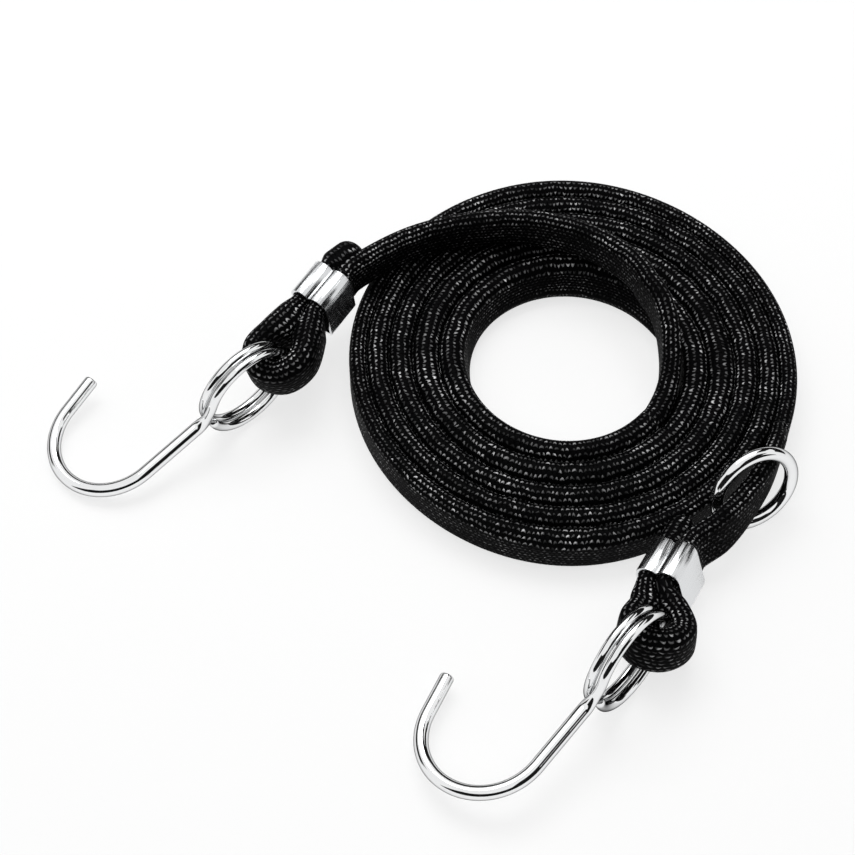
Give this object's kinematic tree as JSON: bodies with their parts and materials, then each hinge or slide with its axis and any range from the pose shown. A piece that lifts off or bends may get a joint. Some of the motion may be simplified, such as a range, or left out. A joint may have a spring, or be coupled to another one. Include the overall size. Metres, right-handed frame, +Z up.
{
  "type": "bungee cord",
  "caption": "Flat braided elastic cord lying in a coil, each end clamped by a ferrule into a loop that holds a bent wire hook with an eye; a loose ring runs on one lead.",
  "frame": {"origin": "centre of the bounding box on the plane that the coil and the hooks lie on", "axes": "+Z up from that plane, +X to the right and +Y away from the viewer as in the picture"},
  "size_m": [0.2378, 0.2248, 0.0335],
  "materials": {
    "braid": "braided textile with a soft sheen",
    "core_rubber": "matt",
    "ferrule_steel": "plated, drawn lengthwise",
    "hook_steel": "bright plated",
    "ring_steel": "bright plated"
  },
  "bodies": {
    "coil": {"coil_sheath": "braid", "coil_core": "core_rubber", "left_lead_sheath": "braid", "left_lead_core": "core_rubber", "right_lead_sheath": "braid", "right_lead_core": "core_rubber"},
    "left_end": {"left_ferrule": "ferrule_steel", "left_loop_sheath": "braid", "left_loop_core": "core_rubber"},
    "right_end": {"right_ferrule": "ferrule_steel", "right_loop_sheath": "braid", "right_loop_core": "core_rubber"},
    "left_hook": {"left_hook": "hook_steel"},
    "right_hook": {"right_hook": "hook_steel"},
    "slide_ring": {"slide_ring": "ring_steel"}
  },
  "joints": [
    {"name": "left_stretch", "type": "slide", "parent": "coil", "child": "left_end", "axis": [-0.5736, -0.8192, 0], "range_m": [0, 0.04], "stiffness_N_per_m": 1200, "deforming": ["left_lead_sheath", "left_lead_core"]},
    {"name": "right_stretch", "type": "slide", "parent": "coil", "child": "right_end", "axis": [-0.4848, -0.8746, 0], "range_m": [0, 0.035], "stiffness_N_per_m": 2800, "deforming": ["right_lead_sheath", "right_lead_core"]},
    {"name": "left_hook_turn", "type": "hinge", "parent": "left_end", "child": "left_hook", "pos_m": [-0.05601, 0.02355, 0.01675], "axis": [-0.6684, 0.739, 0.0849], "range_deg": [-90, 100]},
    {"name": "right_hook_turn", "type": "hinge", "parent": "right_end", "child": "right_hook", "pos_m": [0.05749, -0.07225, 0.01675], "axis": [-0.759, 0.6464, -0.0781], "range_deg": [-90, 100]},
    {"name": "ring_slide", "type": "slide", "parent": "coil", "child": "slide_ring", "axis": [-0.5546, -0.8319, 0.0158], "range_m": [-0.002, 0.007]}
  ]
}
